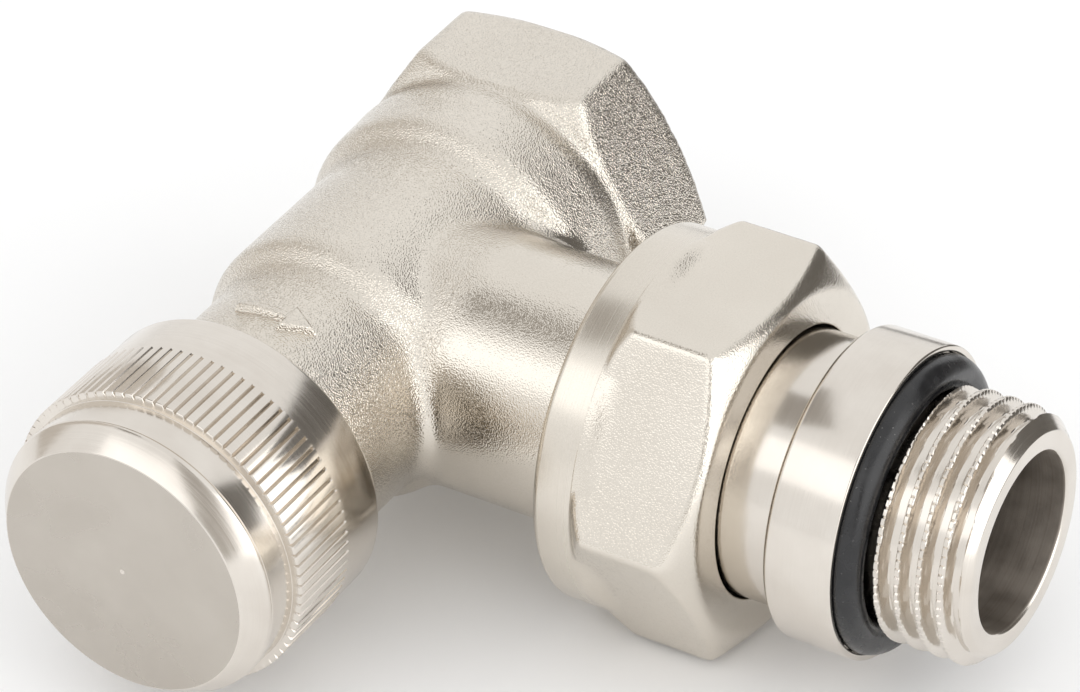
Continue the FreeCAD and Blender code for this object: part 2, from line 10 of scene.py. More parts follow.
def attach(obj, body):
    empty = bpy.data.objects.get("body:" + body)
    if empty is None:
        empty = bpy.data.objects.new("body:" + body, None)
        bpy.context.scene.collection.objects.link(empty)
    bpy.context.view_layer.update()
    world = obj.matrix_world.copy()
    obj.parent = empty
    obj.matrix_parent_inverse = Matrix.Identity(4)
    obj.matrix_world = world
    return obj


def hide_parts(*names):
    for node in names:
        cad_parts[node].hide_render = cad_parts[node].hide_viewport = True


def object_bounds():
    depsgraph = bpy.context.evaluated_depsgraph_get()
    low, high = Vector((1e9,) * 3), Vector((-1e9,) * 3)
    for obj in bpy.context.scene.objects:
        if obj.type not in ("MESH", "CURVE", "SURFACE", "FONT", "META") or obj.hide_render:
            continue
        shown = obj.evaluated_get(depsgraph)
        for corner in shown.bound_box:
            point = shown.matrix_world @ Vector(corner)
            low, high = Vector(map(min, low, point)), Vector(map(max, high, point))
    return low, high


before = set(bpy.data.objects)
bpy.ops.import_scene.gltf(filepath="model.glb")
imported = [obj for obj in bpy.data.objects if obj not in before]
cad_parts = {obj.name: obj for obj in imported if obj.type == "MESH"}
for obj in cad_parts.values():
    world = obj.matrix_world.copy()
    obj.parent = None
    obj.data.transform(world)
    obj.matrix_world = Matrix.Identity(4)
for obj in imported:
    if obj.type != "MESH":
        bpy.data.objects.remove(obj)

cad_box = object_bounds()
MM = 0.001

# Camera of the photograph, as a point to aim at and the way it looks there
AIM = Vector((11.423, -20.688, -1.746)) * MM
CAMERA_DISTANCE = 450.3 * MM
CAMERA_AZIMUTH = math.radians(31.76)
CAMERA_ELEVATION = math.radians(35.9)
CAMERA_ROLL = math.radians(-1.28)
LENS = 184.0
SENSOR = 36.0

# Places and sizes shared by the pieces, in millimetres
BRANCH_Y = -26.5
PIPE_HEX_START = -9.5
NUT_HEX_BACK = 27.0
SOCKET_THREAD_DEPTH = 13.0
THREAD_RAD = 10.4775
THREAD_DEPTH = 1.162
THREAD_PITCH = 1.814

# Forged finish, in grains per millimetre and in plating colours
GRAIN_PER_MM = 8.0
PITS_PER_MM = 2.6
CLOUDS_PER_MM = 0.12
NICKEL_LOW = (0.7, 0.65, 0.575)
NICKEL_HIGH = (0.77, 0.72, 0.645)

# Values between which most of a noise lies
NOISE_LOW = 0.3
NOISE_HIGH = 0.7

# Distances of lamps and cards from the part, in metres, and the warm tint of the cards
LAMP_DISTANCE = 0.55
FAR = 0.5
NEAR = 0.09
CARD_TINT = (1.0, 0.94, 0.87)


def link(obj):
    """Puts a new object into the scene."""
    bpy.context.scene.collection.objects.link(obj)
    return obj


def smoothstep(share):
    """Eases a share between 0 and 1 at both ends."""
    return share * share * (3 - 2 * share)


# Shader helpers


class Finish:
    """A material whose surface is one Principled shader fed by procedural nodes."""

    def __init__(self, name, **constants):
        self.material = bpy.data.materials.new(name)
        self.material.use_nodes = True
        self.tree = self.material.node_tree
        self.surface = self.tree.nodes["Principled BSDF"]
        for socket, value in constants.items():
            self.surface.inputs[socket.replace("_", " ")].default_value = value
        self.places = self.add("ShaderNodeTexCoord").outputs["Object"]

    def add(self, kind, inputs=None, **settings):
        """Adds a node, with its settings and with values or links for its inputs."""
        node = self.tree.nodes.new(kind)
        for key, value in settings.items():
            setattr(node, key, value)
        for key, value in (inputs or {}).items():
            if isinstance(value, bpy.types.NodeSocket):
                self.tree.links.new(value, node.inputs[key])
            else:
                node.inputs[key].default_value = value
        return node

    def calc(self, operation, first, second=0.0):
        """One operation on two numbers."""
        node = self.add("ShaderNodeMath", {0: first, 1: second}, operation=operation)
        return node.outputs[0]

    def spread(self, value, low, high, to_low=0.0, to_high=1.0):
        """Maps a range smoothly onto another."""
        inputs = {"Value": value, "From Min": low, "From Max": high, "To Min": to_low, "To Max": to_high}
        return self.add("ShaderNodeMapRange", inputs, interpolation_type="SMOOTHSTEP").outputs["Result"]

    def vary(self, noise, low, high):
        """Spreads a noise between two values."""
        return self.spread(noise, NOISE_LOW, NOISE_HIGH, low, high)

    def noise(self, per_mm, vector=None, detail=2.0, roughness=0.5):
        """Noise with about so many grains per millimetre."""
        inputs = {
            "Vector": vector or self.places,
            "Scale": per_mm / MM,
            "Detail": detail,
            "Roughness": roughness,
        }
        return self.add("ShaderNodeTexNoise", inputs).outputs["Fac"]

    def blend(self, share, first, second):
        """Mixes two numbers by a share."""
        node = self.add("ShaderNodeMix", {0: share, 2: first, 3: second}, data_type="FLOAT")
        return node.outputs[0]

    def ramp(self, value, stops):
        """Colour by value, from a list of places and colours."""
        node = self.add("ShaderNodeValToRGB", {"Fac": value})
        band = node.color_ramp
        while len(band.elements) < len(stops):
            band.elements.new(0.5)
        for element, (place, colour) in zip(band.elements, stops):
            element.position = place
            element.color = (*colour, 1.0)
        return node.outputs["Color"]

    def tint(self, noise, dark, light):
        """Colour that goes from dark to light with a noise."""
        return self.ramp(noise, [(NOISE_LOW, dark), (NOISE_HIGH, light)])

    def place(self, axis):
        """Place along an axis, in metres."""
        return self.add("ShaderNodeSeparateXYZ", {"Vector": self.places}).outputs[axis]

    def turning(self, axis, centre=0.0, per_mm=9.0):
        """Fine rings left by a lathe tool, on sides and on end faces alike."""
        parts = self.add("ShaderNodeSeparateXYZ", {"Vector": self.places}).outputs
        side = self.calc("SUBTRACT", parts["Y"], centre) if axis == "X" else parts["X"]
        squares = [self.calc("MULTIPLY", part, part) for part in (side, parts["Z"])]
        away = self.calc("SQRT", self.calc("ADD", *squares))
        rings = self.add("ShaderNodeCombineXYZ", {"X": parts[axis], "Y": away}).outputs[0]
        return self.noise(per_mm, rings, detail=3.0, roughness=0.65)

    def lathe_gloss(self, axis, amount):
        """Stretches the gloss across the turning rings."""
        self.surface.inputs["Anisotropic"].default_value = amount
        tangent = self.add("ShaderNodeTangent", direction_type="RADIAL", axis=axis)
        self.tree.links.new(tangent.outputs[0], self.surface.inputs["Tangent"])

    def finish(self, colour, roughness, height, depth_mm, edge_mm=0.0):
        """Links colour, roughness and relief to the surface."""
        self.tree.links.new(colour, self.surface.inputs["Base Color"])
        self.tree.links.new(roughness, self.surface.inputs["Roughness"])
        inputs = {"Height": height, "Distance": depth_mm * MM, "Strength": 1.0}
        if edge_mm:
            inputs["Normal"] = self.add("ShaderNodeBevel", {"Radius": edge_mm * MM}, samples=4).outputs[0]
        relief = self.add("ShaderNodeBump", inputs)
        self.tree.links.new(relief.outputs[0], self.surface.inputs["Normal"])
        return self.material


# Finishes


def forged_nickel():
    """Blasted and plated forging: fine sparkling grain over a faint unevenness, softer on the branch."""
    branch_from_x, branch_to_x = 9.0, 13.0
    branch_from_y, branch_to_y = -13.5, -16.0
    branch_strength = 0.32
    look = Finish("forged_nickel_grain", Metallic=1.0)
    grain = look.noise(GRAIN_PER_MM, detail=0.0)
    pits = look.noise(PITS_PER_MM, detail=1.0)
    cloud = look.noise(CLOUDS_PER_MM, detail=3.0)
    beside = look.spread(look.place("X"), branch_from_x * MM, branch_to_x * MM)
    before = look.spread(look.place("Y"), branch_from_y * MM, branch_to_y * MM)
    on_branch = look.calc("MULTIPLY", beside, before)
    strength = look.spread(on_branch, 0.0, 1.0, 1.0, branch_strength)
    relief = look.calc("MULTIPLY", look.blend(0.2, grain, pits), strength)
    colour = look.tint(look.blend(0.45, cloud, grain), NICKEL_LOW, NICKEL_HIGH)
    return look.finish(colour, look.vary(pits, 0.17, 0.11), relief, depth_mm=0.085)


def nut_nickel():
    """Nut of the same forging, with the collar at its back turned bright."""
    turned_start, turned_end = NUT_HEX_BACK + 0.08, NUT_HEX_BACK - 0.02
    ring_relief = 0.04
    look = Finish("union_nut_nickel", Metallic=1.0)
    rings = look.turning("X", BRANCH_Y * MM)
    grain = look.noise(GRAIN_PER_MM, detail=0.0)
    pits = look.noise(PITS_PER_MM, detail=1.0)
    cloud = look.noise(CLOUDS_PER_MM, detail=3.0)
    turned = look.spread(look.place("X"), turned_start * MM, turned_end * MM)
    forged_relief = look.blend(0.25, grain, pits)
    relief = look.blend(turned, forged_relief, look.calc("MULTIPLY", rings, ring_relief))
    colour = look.tint(look.blend(0.35, cloud, grain), NICKEL_LOW, NICKEL_HIGH)
    roughness = look.blend(turned, look.vary(pits, 0.22, 0.16), look.vary(rings, 0.2, 0.28))
    return look.finish(colour, roughness, relief, depth_mm=0.03)


def turned_nickel(name, axis, centre=0.0):
    """Satin nickel with faint rings of the lathe and stretched gloss."""
    look = Finish(name, Metallic=1.0)
    rings = look.turning(axis, centre)
    broad = look.noise(0.25, detail=3.0)
    colour = look.tint(look.blend(0.35, broad, rings), (0.68, 0.63, 0.57), (0.77, 0.725, 0.665))
    look.lathe_gloss(axis, 0.3)
    return look.finish(colour, look.vary(rings, 0.13, 0.2), rings, depth_mm=0.0012)


def shaded_cap_face():
    """End face of the cap, rougher than its sides, with its colour darkened as painted shade."""
    look = Finish("cap_face_painted_shade", Metallic=1.0)
    rings = look.turning("Y")
    stain = look.noise(0.18, detail=3.0)
    colour = look.tint(look.blend(0.08, stain, rings), (0.51, 0.47, 0.42), (0.56, 0.52, 0.467))
    return look.finish(colour, look.vary(stain, 0.26, 0.32), rings, depth_mm=0.0002)


def stained_shaded_bore():
    """Dull inside of the tailpiece, stained by the plating bath and darkened further as painted shade of
    the bore.
    """
    look = Finish("tail_bore_stain_and_shade", Metallic=1.0)
    rings = look.turning("X", BRANCH_Y * MM, per_mm=4.0)
    stain = look.noise(0.35, detail=4.0, roughness=0.6)
    colour = look.tint(look.blend(0.35, stain, rings), (0.3, 0.265, 0.23), (0.46, 0.415, 0.365))
    return look.finish(colour, look.vary(stain, 0.5, 0.65), rings, depth_mm=0.012)


def bare_brass(name, axis):
    """Turned brass of the parts inside."""
    look = Finish(name, Metallic=1.0)
    rings = look.turning(axis)
    broad = look.noise(0.3, detail=3.0)
    colour = look.tint(look.blend(0.5, broad, rings), (0.6, 0.4, 0.14), (0.75, 0.55, 0.24))
    look.lathe_gloss(axis, 0.4)
    return look.finish(colour, look.vary(rings, 0.18, 0.3), rings, depth_mm=0.006, edge_mm=0.1)


def seal_rubber():
    """Moulded black rubber with a faint bloom and dust."""
    look = Finish("seal_rubber_black", Specular_IOR_Level=0.5)
    fine = look.noise(9.0, detail=2.0)
    bloom = look.noise(0.5, detail=3.0)
    dust = look.spread(look.noise(4.5, detail=0.0), 0.78, 0.84)
    shade = look.calc("ADD", look.calc("MULTIPLY", bloom, 0.5), look.calc("MULTIPLY", dust, 0.5))
    black, grey, dusty = (0.009, 0.009, 0.01), (0.024, 0.024, 0.025), (0.14, 0.135, 0.13)
    colour = look.ramp(shade, [(0.15, black), (0.4, grey), (0.9, dusty)])
    return look.finish(colour, look.vary(bloom, 0.2, 0.34), fine, depth_mm=0.01)


def fibre_gasket():
    """Flat disc of gasket sheet under the cap."""
    look = Finish("fibre_gasket_sheet", Specular_IOR_Level=0.3)
    fibre = look.noise(3.0, detail=4.0, roughness=0.7)
    colour = look.tint(fibre, (0.1, 0.1, 0.11), (0.22, 0.22, 0.23))
    return look.finish(colour, look.vary(fibre, 0.7, 0.85), fibre, depth_mm=0.03)


def spring_steel():
    """Drawn spring wire of the snap rings."""
    look = Finish("spring_steel_drawn", Metallic=1.0)
    streak = look.noise(4.0, detail=3.0, roughness=0.6)
    colour = look.tint(streak, (0.3, 0.3, 0.31), (0.46, 0.46, 0.47))
    return look.finish(colour, look.vary(streak, 0.25, 0.4), streak, depth_mm=0.006)


# Mesh helpers


def eased(points, steps=3):
    """Rounds the corners of an outline; a point is place, radius and the ease at its corner."""
    smooth = []
    for index, (place, radius, ease) in enumerate(points):
        here = np.array((place, radius), float)
        if not ease:
            smooth.append(here)
            continue
        before = np.array(points[index - 1][:2], float)
        after = np.array(points[(index + 1) % len(points)][:2], float)
        start = here + (before - here) * min(0.5, ease / np.linalg.norm(before - here))
        end = here + (after - here) * min(0.5, ease / np.linalg.norm(after - here))
        for step in range(steps + 1):
            share = step / steps
            smooth.append((1 - share) ** 2 * start + 2 * share * (1 - share) * here + share**2 * end)
    return smooth


def turned_mesh(name, axis, centre, stations, segments, on_axis=False):
    """Skin round an axis; a station is a place and its radius at each angle.

    The last station joins the first, unless both lie on the axis.
    """
    angles = np.arange(segments) * math.tau / segments
    rings = []
    for place, radius in stations:
        away = np.broadcast_to(radius, angles.shape)
        along = np.full(segments, place)
        if axis == "X":
            ring = (along, centre + away * np.cos(angles), away * np.sin(angles))
        else:
            ring = (centre + away * np.sin(angles), along, away * np.cos(angles))
        rings.append(np.stack(ring, axis=1))
    points = np.concatenate(rings) * MM
    turn = np.arange(segments)
    next_turn = (turn + 1) % segments
    bands = len(stations) - 1 if on_axis else len(stations)
    faces = []
    for index in range(bands):
        low = index * segments
        high = (index + 1) % len(stations) * segments
        faces.append(np.stack((low + turn, low + next_turn, high + next_turn, high + turn), axis=1))
    mesh = bpy.data.meshes.new(name)
    mesh.from_pydata(points.tolist(), [], np.concatenate(faces).tolist())
    return tidy_normals(mesh)


def tidy_normals(mesh, sharp=40.0):
    """Joins points that meet, drops loose ones, turns faces outward and smooths all but the sharp edges."""
    work = bmesh.new()
    work.from_mesh(mesh)
    loose = [point for point in work.verts if not point.link_faces]
    bmesh.ops.delete(work, geom=loose, context="VERTS")
    bmesh.ops.remove_doubles(work, verts=work.verts, dist=0.0001 * MM)
    bmesh.ops.recalc_face_normals(work, faces=work.faces)
    work.to_mesh(mesh)
    work.free()
    mesh.shade_smooth()
    mesh.set_sharp_from_angle(angle=math.radians(sharp))
    return mesh


def face_centres(mesh):
    """Centre of each face, in millimetres."""
    centres = np.empty(len(mesh.polygons) * 3)
    mesh.polygons.foreach_get("center", centres)
    return centres.reshape(-1, 3) / MM


def use_second_material(mesh, picked):
    """Gives the second material to the picked faces, and the first to the others."""
    mesh.polygons.foreach_set("material_index", picked.astype(np.int32))


def piece(name, mesh, body, slot, *materials):
    """Makes an object of a mesh, on its body and with its finish."""
    obj = link(bpy.data.objects.new(name, mesh))
    for material in materials:
        mesh.materials.append(material)
    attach(obj, body)
    return obj


def thread_wave(place, angles, start):
    """Right-hand thread: 1 on its crests, 0 in its roots, with both rounded."""
    root_share, flank_share = 0.34, 0.52
    phase = (place - start) / THREAD_PITCH - angles / math.tau
    slope = np.abs(2 * (phase - np.floor(phase)) - 1)
    return smoothstep(np.clip((slope - root_share) / flank_share, 0, 1))


# Tailpiece with its radiator thread


def threaded_tail(finish, bore_finish):
    """Turned tailpiece like its solid, with a helical thread whose crests are notched for sealing hemp."""
    segments = 540
    step = 0.09
    notches, notch_depth, notch_sharpness = 90, 0.12, 6
    nose, nose_back, nose_end = 9.6, 26.3, 32.3
    seal_groove, seal_groove_start, seal_groove_end = 8.39, 28.3, 29.56
    collar, collar_end = 11.1, 42.4
    ring_groove, ring_groove_start, ring_groove_end = 10.0, 33.6, 35.0
    flange, flange_end, flange_lip = 12.9, 48.4, 0.55
    seal_seat, seal_seat_start = 9.2775, 47.1
    edge = 0.4
    bore, bore_edge = 7.4, 0.2
    thread_start, thread_end = 50.1, 58.45
    lead, lead_end = 1.4, 0.25
    angles = np.arange(segments) * math.tau / segments
    stations = eased(
        [
            (nose_back, bore, 0.1),
            (nose_back, nose - edge, 0.15),
            (nose_back + edge, nose, 0.15),
            (seal_groove_start, nose, 0.1),
            (seal_groove_start, seal_groove, 0.1),
            (seal_groove_end, seal_groove, 0.1),
            (seal_groove_end, nose, 0.1),
            (nose_end, nose, 0.1),
            (nose_end, collar, 0.2),
            (ring_groove_start, collar, 0.1),
            (ring_groove_start, ring_groove, 0.1),
            (ring_groove_end, ring_groove, 0.1),
            (ring_groove_end, collar, 0.1),
            (collar_end, collar, 0.25),
            (collar_end, flange - edge, 0.15),
            (collar_end + edge, flange, 0.15),
            (flange_end, flange, 0.18),
            (flange_end, flange - flange_lip, 0.15),
            (seal_seat_start, flange - flange_lip, 0.1),
            (seal_seat_start, seal_seat, 0.2),
            (thread_start, seal_seat, 0),
        ]
    )
    for place in np.arange(thread_start + step, thread_end - lead_end, step):
        wave = thread_wave(place, angles, thread_start)
        on_crest = np.clip(wave * 3 - 2, 0, 1)
        notch = notch_depth * np.clip(np.cos(notches * angles), 0, 1) ** notch_sharpness * on_crest
        radius = THREAD_RAD - THREAD_DEPTH * (1 - wave) - notch
        rise = seal_seat + (place - thread_start) * 2
        fall = THREAD_RAD - max(0.0, place - (thread_end - lead))
        stations.append((place, np.minimum(radius, min(rise, fall))))
    lip = THREAD_RAD - lead
    stations += eased(
        [
            (thread_end - bore_edge, lip + bore_edge, 0),
            (thread_end, lip, 0.15),
            (thread_end, bore + bore_edge, 0.1),
            (thread_end - bore_edge, bore, 0.15),
            (nose_back + bore_edge, bore, 0),
        ]
    )
    mesh = turned_mesh("threaded_tail", "X", BRANCH_Y, stations, segments)
    obj = piece("threaded_tail", mesh, "tail", "turned_nickel", finish, bore_finish)
    centres = face_centres(mesh)
    away = np.hypot(centres[:, 1] - BRANCH_Y, centres[:, 2])
    # The bore takes the darker stained nickel, partly painted shade
    use_second_material(mesh, (away < bore + 0.05) & (centres[:, 0] > nose_back + 0.1))
    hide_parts("tailpiece")


def socket_thread(finish):
    """Thread inside the pipe hexagon, as ridges standing in its plain bore."""
    segments = 288
    step = 0.15
    run_out = 1.8
    sunk, clear = 0.2, 0.02
    angles = np.arange(segments) * math.tau / segments
    back = THREAD_RAD + sunk
    stations = [(-SOCKET_THREAD_DEPTH, back)]
    for place in np.arange(-SOCKET_THREAD_DEPTH + 0.01, 0.0, step):
        wave = thread_wave(place, angles, 0.0)
        fade = min(1.0, (place + SOCKET_THREAD_DEPTH) / run_out, max(0.0, -place / run_out))
        stations.append((place, THREAD_RAD - clear - THREAD_DEPTH * fade * wave))
    stations.append((0.0, back))
    mesh = turned_mesh("socket_thread", "Y", 0.0, stations, segments)
    piece("socket_thread", mesh, "valve", "forged_nickel", finish)


# Union nut


def soft_min(first, second, ease):
    """The smaller of two values, with the change from one to the other rounded."""
    share = np.clip(0.5 + 0.5 * (second - first) / ease, 0, 1)
    return second + (first - second) * share - ease * share * (1 - share)


def rounded_hexagon(apothem, angles, first_flat, sharpness):
    """Radius of a hexagon with rounded corners at each angle."""
    total = np.zeros_like(angles)
    for flat in range(6):
        total += np.clip(np.cos(angles - first_flat - flat * math.tau / 6), 0, 1) ** sharpness
    return apothem / total ** (1 / sharpness)


def forged_nut(finish):
    """Hexagon nut like its solid, with the soft edges of a forging and a turned collar."""
    segments = 480
    step = 0.2
    back, shoulder, front = 23.5, 35.0, 37.6
    apothem, sharpness, collar, face = 15.0, 100, 15.7, 14.3
    edge = 0.4
    thread, thread_edge, hole = 13.3, 0.8, 11.3
    back_ease, front_ease = 0.5, 1.2
    flat_reach, corner_reach = 2.2, 0.5
    angles = np.arange(segments) * math.tau / segments
    hexagon = rounded_hexagon(apothem, angles, math.pi / 2, sharpness)
    start = eased(
        [
            (back, thread + thread_edge + 0.1, 0.1),
            (back, collar - edge, 0.15),
            (back + edge, collar, 0.2),
            (NUT_HEX_BACK - 0.1, collar, 0),
        ]
    )
    # Only the second half of the first corner's easing stays, as it joins the mouth of the thread
    stations = start[2:]
    for place in np.arange(NUT_HEX_BACK, front - 0.05, step):
        slope_back = collar + (place - NUT_HEX_BACK)
        slope_front = face + (front - place) * math.sqrt(3)
        radius = soft_min(hexagon, slope_back, back_ease)
        radius = soft_min(radius, slope_front, front_ease)
        reach = np.where(radius < collar, flat_reach, corner_reach)
        rise = smoothstep(np.clip(1 - (place - NUT_HEX_BACK) / reach, 0, 1))
        stations.append((place, radius + (collar - radius) * rise))
    stations += eased(
        [
            (front - 0.1, face + 0.1, 0),
            (front, face - 0.3, 0.2),
            (front, hole, 0.25),
            (shoulder, hole, 0.1),
            (shoulder, thread, 0.1),
            (back + thread_edge, thread, 0.1),
            (back, thread + thread_edge, 0.1),
        ]
    )
    mesh = turned_mesh("forged_nut", "X", BRANCH_Y, stations, segments)
    obj = piece("forged_nut", mesh, "nut", "forged_nickel", finish)
    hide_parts("union_nut")


# Protective cap


def knurled_cap(finish, shaded_face_finish):
    """Turned cap like its solid, with rounded ribs, fine grooves and a line scored behind its chamfer."""
    ribs = 87
    segments = ribs * 12
    face, front_end, knurl_end, mouth = -64.0, -59.0, -52.2, -47.4
    skin, front, chamfer, chamfer_width = 13.2, 12.35, 1.5, 1.9
    score, score_width, score_gap = 0.14, 0.16, 0.2
    groove_depth, groove_width, crown = 0.3, 0.3, 0.03
    collar, edge = skin - 0.14, 0.4
    dimple, dimple_floor, dimple_depth = 0.36, 0.06, 0.045
    bore, bore_mouth, mouth_depth, ceiling = 10.08, 11.0, 3.0, -61.8
    angles = np.arange(segments) * math.tau / segments
    half_rib = math.pi * skin / ribs
    across = np.abs((angles * ribs / math.tau) % 1 - 0.5) * 2 * half_rib
    cut = np.clip(1 - across / (groove_width / 2), 0, 1)
    ribbed = skin - groove_depth * cut - crown * (1 - across / half_rib) ** 2
    score_start = face + chamfer_width + score_gap
    stations = eased(
        [
            (face + dimple_depth, 0, 0),
            (face + dimple_depth, dimple_floor, 0.05),
            (face, dimple, 0.15),
            (face, front - chamfer, 0.12),
            (face + chamfer_width, front, 0.2),
            (score_start, front, 0),
            (score_start + score_width / 2, front - score, 0),
            (score_start + score_width, front, 0),
            (front_end, front, 0.06),
            (front_end, front + 0.1, 0),
        ]
    )
    stations += [(front_end, ribbed - 0.15), (front_end + 0.06, ribbed - 0.04), (front_end + 0.15, ribbed)]
    stations += [(knurl_end - 0.1, ribbed), (knurl_end - 0.02, ribbed), (knurl_end, collar)]
    stations += eased(
        [
            (knurl_end + 0.1, collar, 0),
            (mouth - edge, collar, 0.15),
            (mouth, collar - edge, 0.15),
            (mouth, bore_mouth, 0.1),
            (mouth - mouth_depth, bore_mouth, 0.1),
            (mouth - mouth_depth, bore, 0.1),
            (ceiling, bore, 0.1),
            (ceiling, 0, 0),
        ]
    )
    mesh = turned_mesh("knurled_cap", "Y", 0.0, stations, segments, on_axis=True)
    obj = piece("knurled_cap", mesh, "cap", "turned_nickel", finish, shaded_face_finish)
    # The end face takes the darker nickel, which is painted shade
    use_second_material(mesh, face_centres(mesh)[:, 1] < face + 0.02)
    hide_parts("protective_cap")


# Forged body


def forged_body(finish):
    """Skin over the forging's solid, with its edges and creases eased as the die leaves them."""
    voxel = 0.39
    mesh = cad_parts["valve_body"].data.copy()
    draft = link(bpy.data.objects.new("forging_draft", mesh))
    skin = draft.modifiers.new("skin", "REMESH")
    skin.mode = "VOXEL"
    skin.voxel_size = voxel * MM
    graph = bpy.context.evaluated_depsgraph_get()
    mesh = bpy.data.meshes.new_from_object(draft.evaluated_get(graph))
    bpy.data.objects.remove(draft)
    mesh.name = "forged_body"
    mesh.materials.clear()
    smooth_skin(mesh, rounds=4)
    mesh.shade_smooth()
    obj = piece("forged_body", mesh, "valve", "forged_nickel", finish)
    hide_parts("valve_body")
    return mesh


def smooth_skin(mesh, rounds):
    """Evens out the forging's outside, and leaves its bores nearly as they are."""
    socket_end, socket_wall, neck_wall = -15.0, 12.6, 10.2
    branch_start, branch_wall, branch_bore = 11.0, 10.4, 10.2
    outside_weight, bore_weight = 0.5, 0.05
    count = len(mesh.vertices)
    points = np.empty(count * 3)
    mesh.vertices.foreach_get("co", points)
    points = points.reshape(-1, 3) / MM
    ends = np.empty(len(mesh.edges) * 2, dtype=np.int64)
    mesh.edges.foreach_get("vertices", ends)
    one, two = ends.reshape(-1, 2).T
    neighbours = np.bincount(one, minlength=count) + np.bincount(two, minlength=count)
    from_main = np.hypot(points[:, 0], points[:, 2])
    from_branch = np.hypot(points[:, 1] - BRANCH_Y, points[:, 2])
    on_branch = points[:, 0] > branch_start
    outside = np.where(points[:, 1] > socket_end, from_main > socket_wall, from_main > neck_wall)
    outside |= on_branch & (from_branch > branch_wall)
    bored = on_branch & (from_branch < branch_bore)
    weight = np.where(outside & ~bored, outside_weight, bore_weight)[:, None]
    for _ in range(rounds):
        total = np.zeros_like(points)
        for axis in range(3):
            total[:, axis] += np.bincount(one, points[two, axis], count)
            total[:, axis] += np.bincount(two, points[one, axis], count)
        points += weight * (total / neighbours[:, None] - points)
    hexagon_step(points, outside)
    mesh.vertices.foreach_set("co", (points * MM).ravel())
    mesh.update()


def hexagon_step(points, outside):
    """Lets the flats of the pipe hexagon end in a small slanted step above the drum."""
    depth, slant, fade = 0.36, 0.5, 2.4
    behind = PIPE_HEX_START - points[:, 1]
    rise = np.clip(1 + behind / slant, 0, 1)
    fall = smoothstep(np.clip(1 - behind / fade, 0, 1))
    drop = depth * rise * fall * outside
    away = np.hypot(points[:, 0], points[:, 2])
    share = 1 - drop / np.maximum(away, 1.0)
    points[:, 0] *= share
    points[:, 2] *= share


def arrow_depth(along, across):
    """How far a place lies inside the outline of a plain arrow, or outside it as a negative number."""
    tail, neck, tip, overlap = -4.2, 0.8, 4.0, 0.4
    shaft_half, head_half = 0.55, 1.65
    shaft = np.minimum(shaft_half - np.abs(across), np.minimum(along - tail, neck + overlap - along))
    slope = head_half / (tip - neck)
    side = (slope * (tip - along) - np.abs(across)) / math.hypot(1, slope)
    head = np.minimum(side, along - neck)
    return np.maximum(shaft, head)


def flow_arrow(skin, finish):
    """Plain raised arrow across the top of the neck, pointing to the radiator."""
    height, sunk, outer, ease = 0.75, 0.25, 0.28, 0.6
    step = 0.1
    half_length, half_width = 4.7, 2.2
    place_y, place_turn, round_radius = -41.8, math.radians(2), 11.7
    ray_start = 20.0
    lengthwise = np.arange(-half_length, half_length, step)
    sideways = np.arange(-half_width, half_width, step)
    along, across = np.meshgrid(lengthwise, sideways, indexing="ij")
    depth = arrow_depth(along, across)
    lift = height * smoothstep(np.clip((depth + outer) / ease, 0, 1)) - sunk
    tree = BVHTree.FromPolygons([v.co for v in skin.vertices], [p.vertices for p in skin.polygons])
    points = []
    for run, side, up in zip(along.ravel(), across.ravel(), lift.ravel()):
        turn = place_turn + run / round_radius
        out = Vector((math.sin(turn), 0.0, math.cos(turn)))
        start = out * ray_start * MM + Vector((0.0, (place_y + side) * MM, 0.0))
        points.append(tree.ray_cast(start, -out)[0] + out * up * MM)
    rows, columns = along.shape
    near = depth > -outer
    faces = []
    for row in range(rows - 1):
        for column in range(columns - 1):
            if near[row : row + 2, column : column + 2].any():
                first = row * columns + column
                faces.append((first, first + 1, first + columns + 1, first + columns))
    mesh = bpy.data.meshes.new("flow_arrow")
    mesh.from_pydata(points, [], faces)
    piece("flow_arrow", tidy_normals(mesh, sharp=180.0), "valve", "forged_nickel", finish)


# Pieces and their finishes

tail_finish = turned_nickel("tail_turned", "X", BRANCH_Y * MM)
nut_finish = nut_nickel()
cap_finish = turned_nickel("cap_turned", "Y")
body_finish = forged_nickel()
rubber = seal_rubber()

threaded_tail(tail_finish, stained_shaded_bore())
forged_nut(nut_finish)
knurled_cap(cap_finish, shaded_cap_face())
flow_arrow(forged_body(body_finish), body_finish)
socket_thread(turned_nickel("socket_turned", "Y"))

FINISHES = {
    "valve_body": body_finish,
    "tailpiece": tail_finish,
    "union_nut": nut_finish,
    "protective_cap": cap_finish,
    "bonnet": bare_brass("bonnet_brass", "Y"),
    "spindle": bare_brass("spindle_brass", "Y"),
    "valve_cone": bare_brass("cone_brass", "Y"),
    "washer_screw": bare_brass("screw_brass", "Y"),
    "cap_gasket": fibre_gasket(),
    "spindle_clip": spring_steel(),
    "tail_snap_ring": spring_steel(),
}
# The nodes without an entry are the rubber seals
for name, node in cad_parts.items():
    for holder in node.material_slots:
        holder.material = FINISHES.get(name, rubber)


# Studio


def staged_sheet(name, corners, finish):
    """Four-cornered sheet that belongs to the studio."""
    mesh = bpy.data.meshes.new(name)
    mesh.from_pydata(corners, [], [(0, 1, 2, 3)])
    mesh.materials.append(finish.material)
    obj = link(bpy.data.objects.new(name, mesh))
    return obj


def floor():
    """Pale plain floor under the part."""
    size = 3.0
    low = cad_box[0].z
    corners = [(-size, -size, low), (size, -size, low), (size, size, low), (-size, size, low)]
    white = (0.94, 0.94, 0.94, 1.0)
    look = Finish("floor_white", Base_Color=white, Roughness=0.9, Specular_IOR_Level=0.1)
    staged_sheet("floor", corners, look)


def way(bearing, height):
    """Direction from the part, by degrees from the room side and above level."""
    turn, rise = math.radians(bearing), math.radians(height)
    return Vector((math.sin(turn) * math.cos(rise), -math.cos(turn) * math.cos(rise), math.sin(rise)))


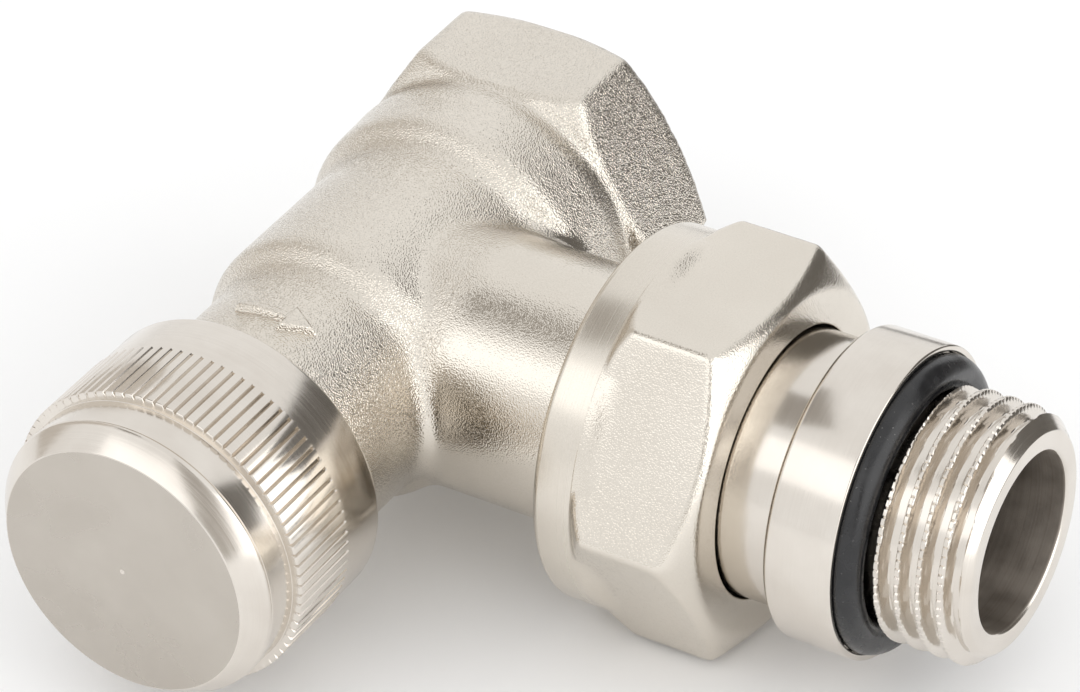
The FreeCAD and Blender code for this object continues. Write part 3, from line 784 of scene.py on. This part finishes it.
def softbox(name, place, size, radiance):
    """Rectangular soft lamp aimed at the part, set by how bright it looks."""
    out = way(*place)
    lamp = bpy.data.lights.new(name, "AREA")
    lamp.shape = "RECTANGLE"
    lamp.size, lamp.size_y = size
    lamp.energy = radiance * math.pi * size[0] * size[1]
    obj = link(bpy.data.objects.new(name, lamp))
    turn = out.to_track_quat("Z", "Y").to_matrix().to_4x4()
    obj.matrix_world = Matrix.Translation(AIM + out * LAMP_DISTANCE) @ turn


def grey_card(name, low, high, width, level):
    """Grey card outside the picture for the metal to mirror.

    It runs between two places, each a bearing, a height and a distance from the part.
    """
    start = way(*low[:2]) * low[2]
    end = way(*high[:2]) * high[2]
    side = (end - start).cross(start + end).normalized() * width / 2
    corners = [AIM + corner for corner in (start - side, start + side, end + side, end - side)]
    grey = (*(level * part for part in CARD_TINT), 1.0)
    look = Finish(name + "_paper", Base_Color=grey, Roughness=0.9, Specular_IOR_Level=0.0)
    obj = staged_sheet(name, corners, look)
    obj.visible_camera = False
    obj.visible_shadow = False
    obj.visible_diffuse = False


def sky():
    """Even white world round the part."""
    world = bpy.data.worlds.new("studio")
    world.use_nodes = True
    bpy.context.scene.world = world
    background = world.node_tree.nodes["Background"]
    background.inputs["Color"].default_value = (1.0, 1.0, 1.0, 1.0)
    background.inputs["Strength"].default_value = 1.0


def camera():
    """Camera at the photograph's viewing angle."""
    back = Vector(
        (
            math.cos(CAMERA_ELEVATION) * math.sin(CAMERA_AZIMUTH),
            -math.cos(CAMERA_ELEVATION) * math.cos(CAMERA_AZIMUTH),
            math.sin(CAMERA_ELEVATION),
        )
    )
    level = Vector((math.cos(CAMERA_AZIMUTH), math.sin(CAMERA_AZIMUTH), 0.0))
    right = Matrix.Rotation(CAMERA_ROLL, 3, back) @ level
    up = back.cross(right)
    data = bpy.data.cameras.new("camera")
    data.lens = LENS
    data.sensor_width = SENSOR
    data.clip_start = 0.01
    obj = link(bpy.data.objects.new("camera", data))
    axes = Matrix((right, up, back)).transposed().to_4x4()
    obj.matrix_world = Matrix.Translation(AIM + back * CAMERA_DISTANCE) @ axes
    bpy.context.scene.camera = obj


floor()
softbox("front_softbox", place=(-8, 40), size=(0.72, 0.27), radiance=0.55)
softbox("right_softbox", place=(87, 23), size=(0.73, 0.48), radiance=0.95)
grey_card("right_card", low=(147, -3, FAR), high=(147, 40, FAR), width=0.44, level=0.14)
# This card lies on the floor beside the part as painted shade of the floor, seen only in the metal's
# reflections
grey_card("right_floor_painted_shade", low=(147, -8.5, NEAR), high=(147, -1.5, FAR), width=0.32, level=0.14)
grey_card("middle_card", low=(50, 2, FAR), high=(12, 58, FAR), width=0.07, level=0.4)
grey_card("left_card", low=(-100, -2, FAR), high=(-100, 50, FAR), width=0.36, level=0.6)
grey_card("top_card", low=(-78, 54, FAR), high=(-78, 70, FAR), width=0.24, level=0.35)
sky()
camera()

bpy.context.scene.view_settings.view_transform = "Standard"
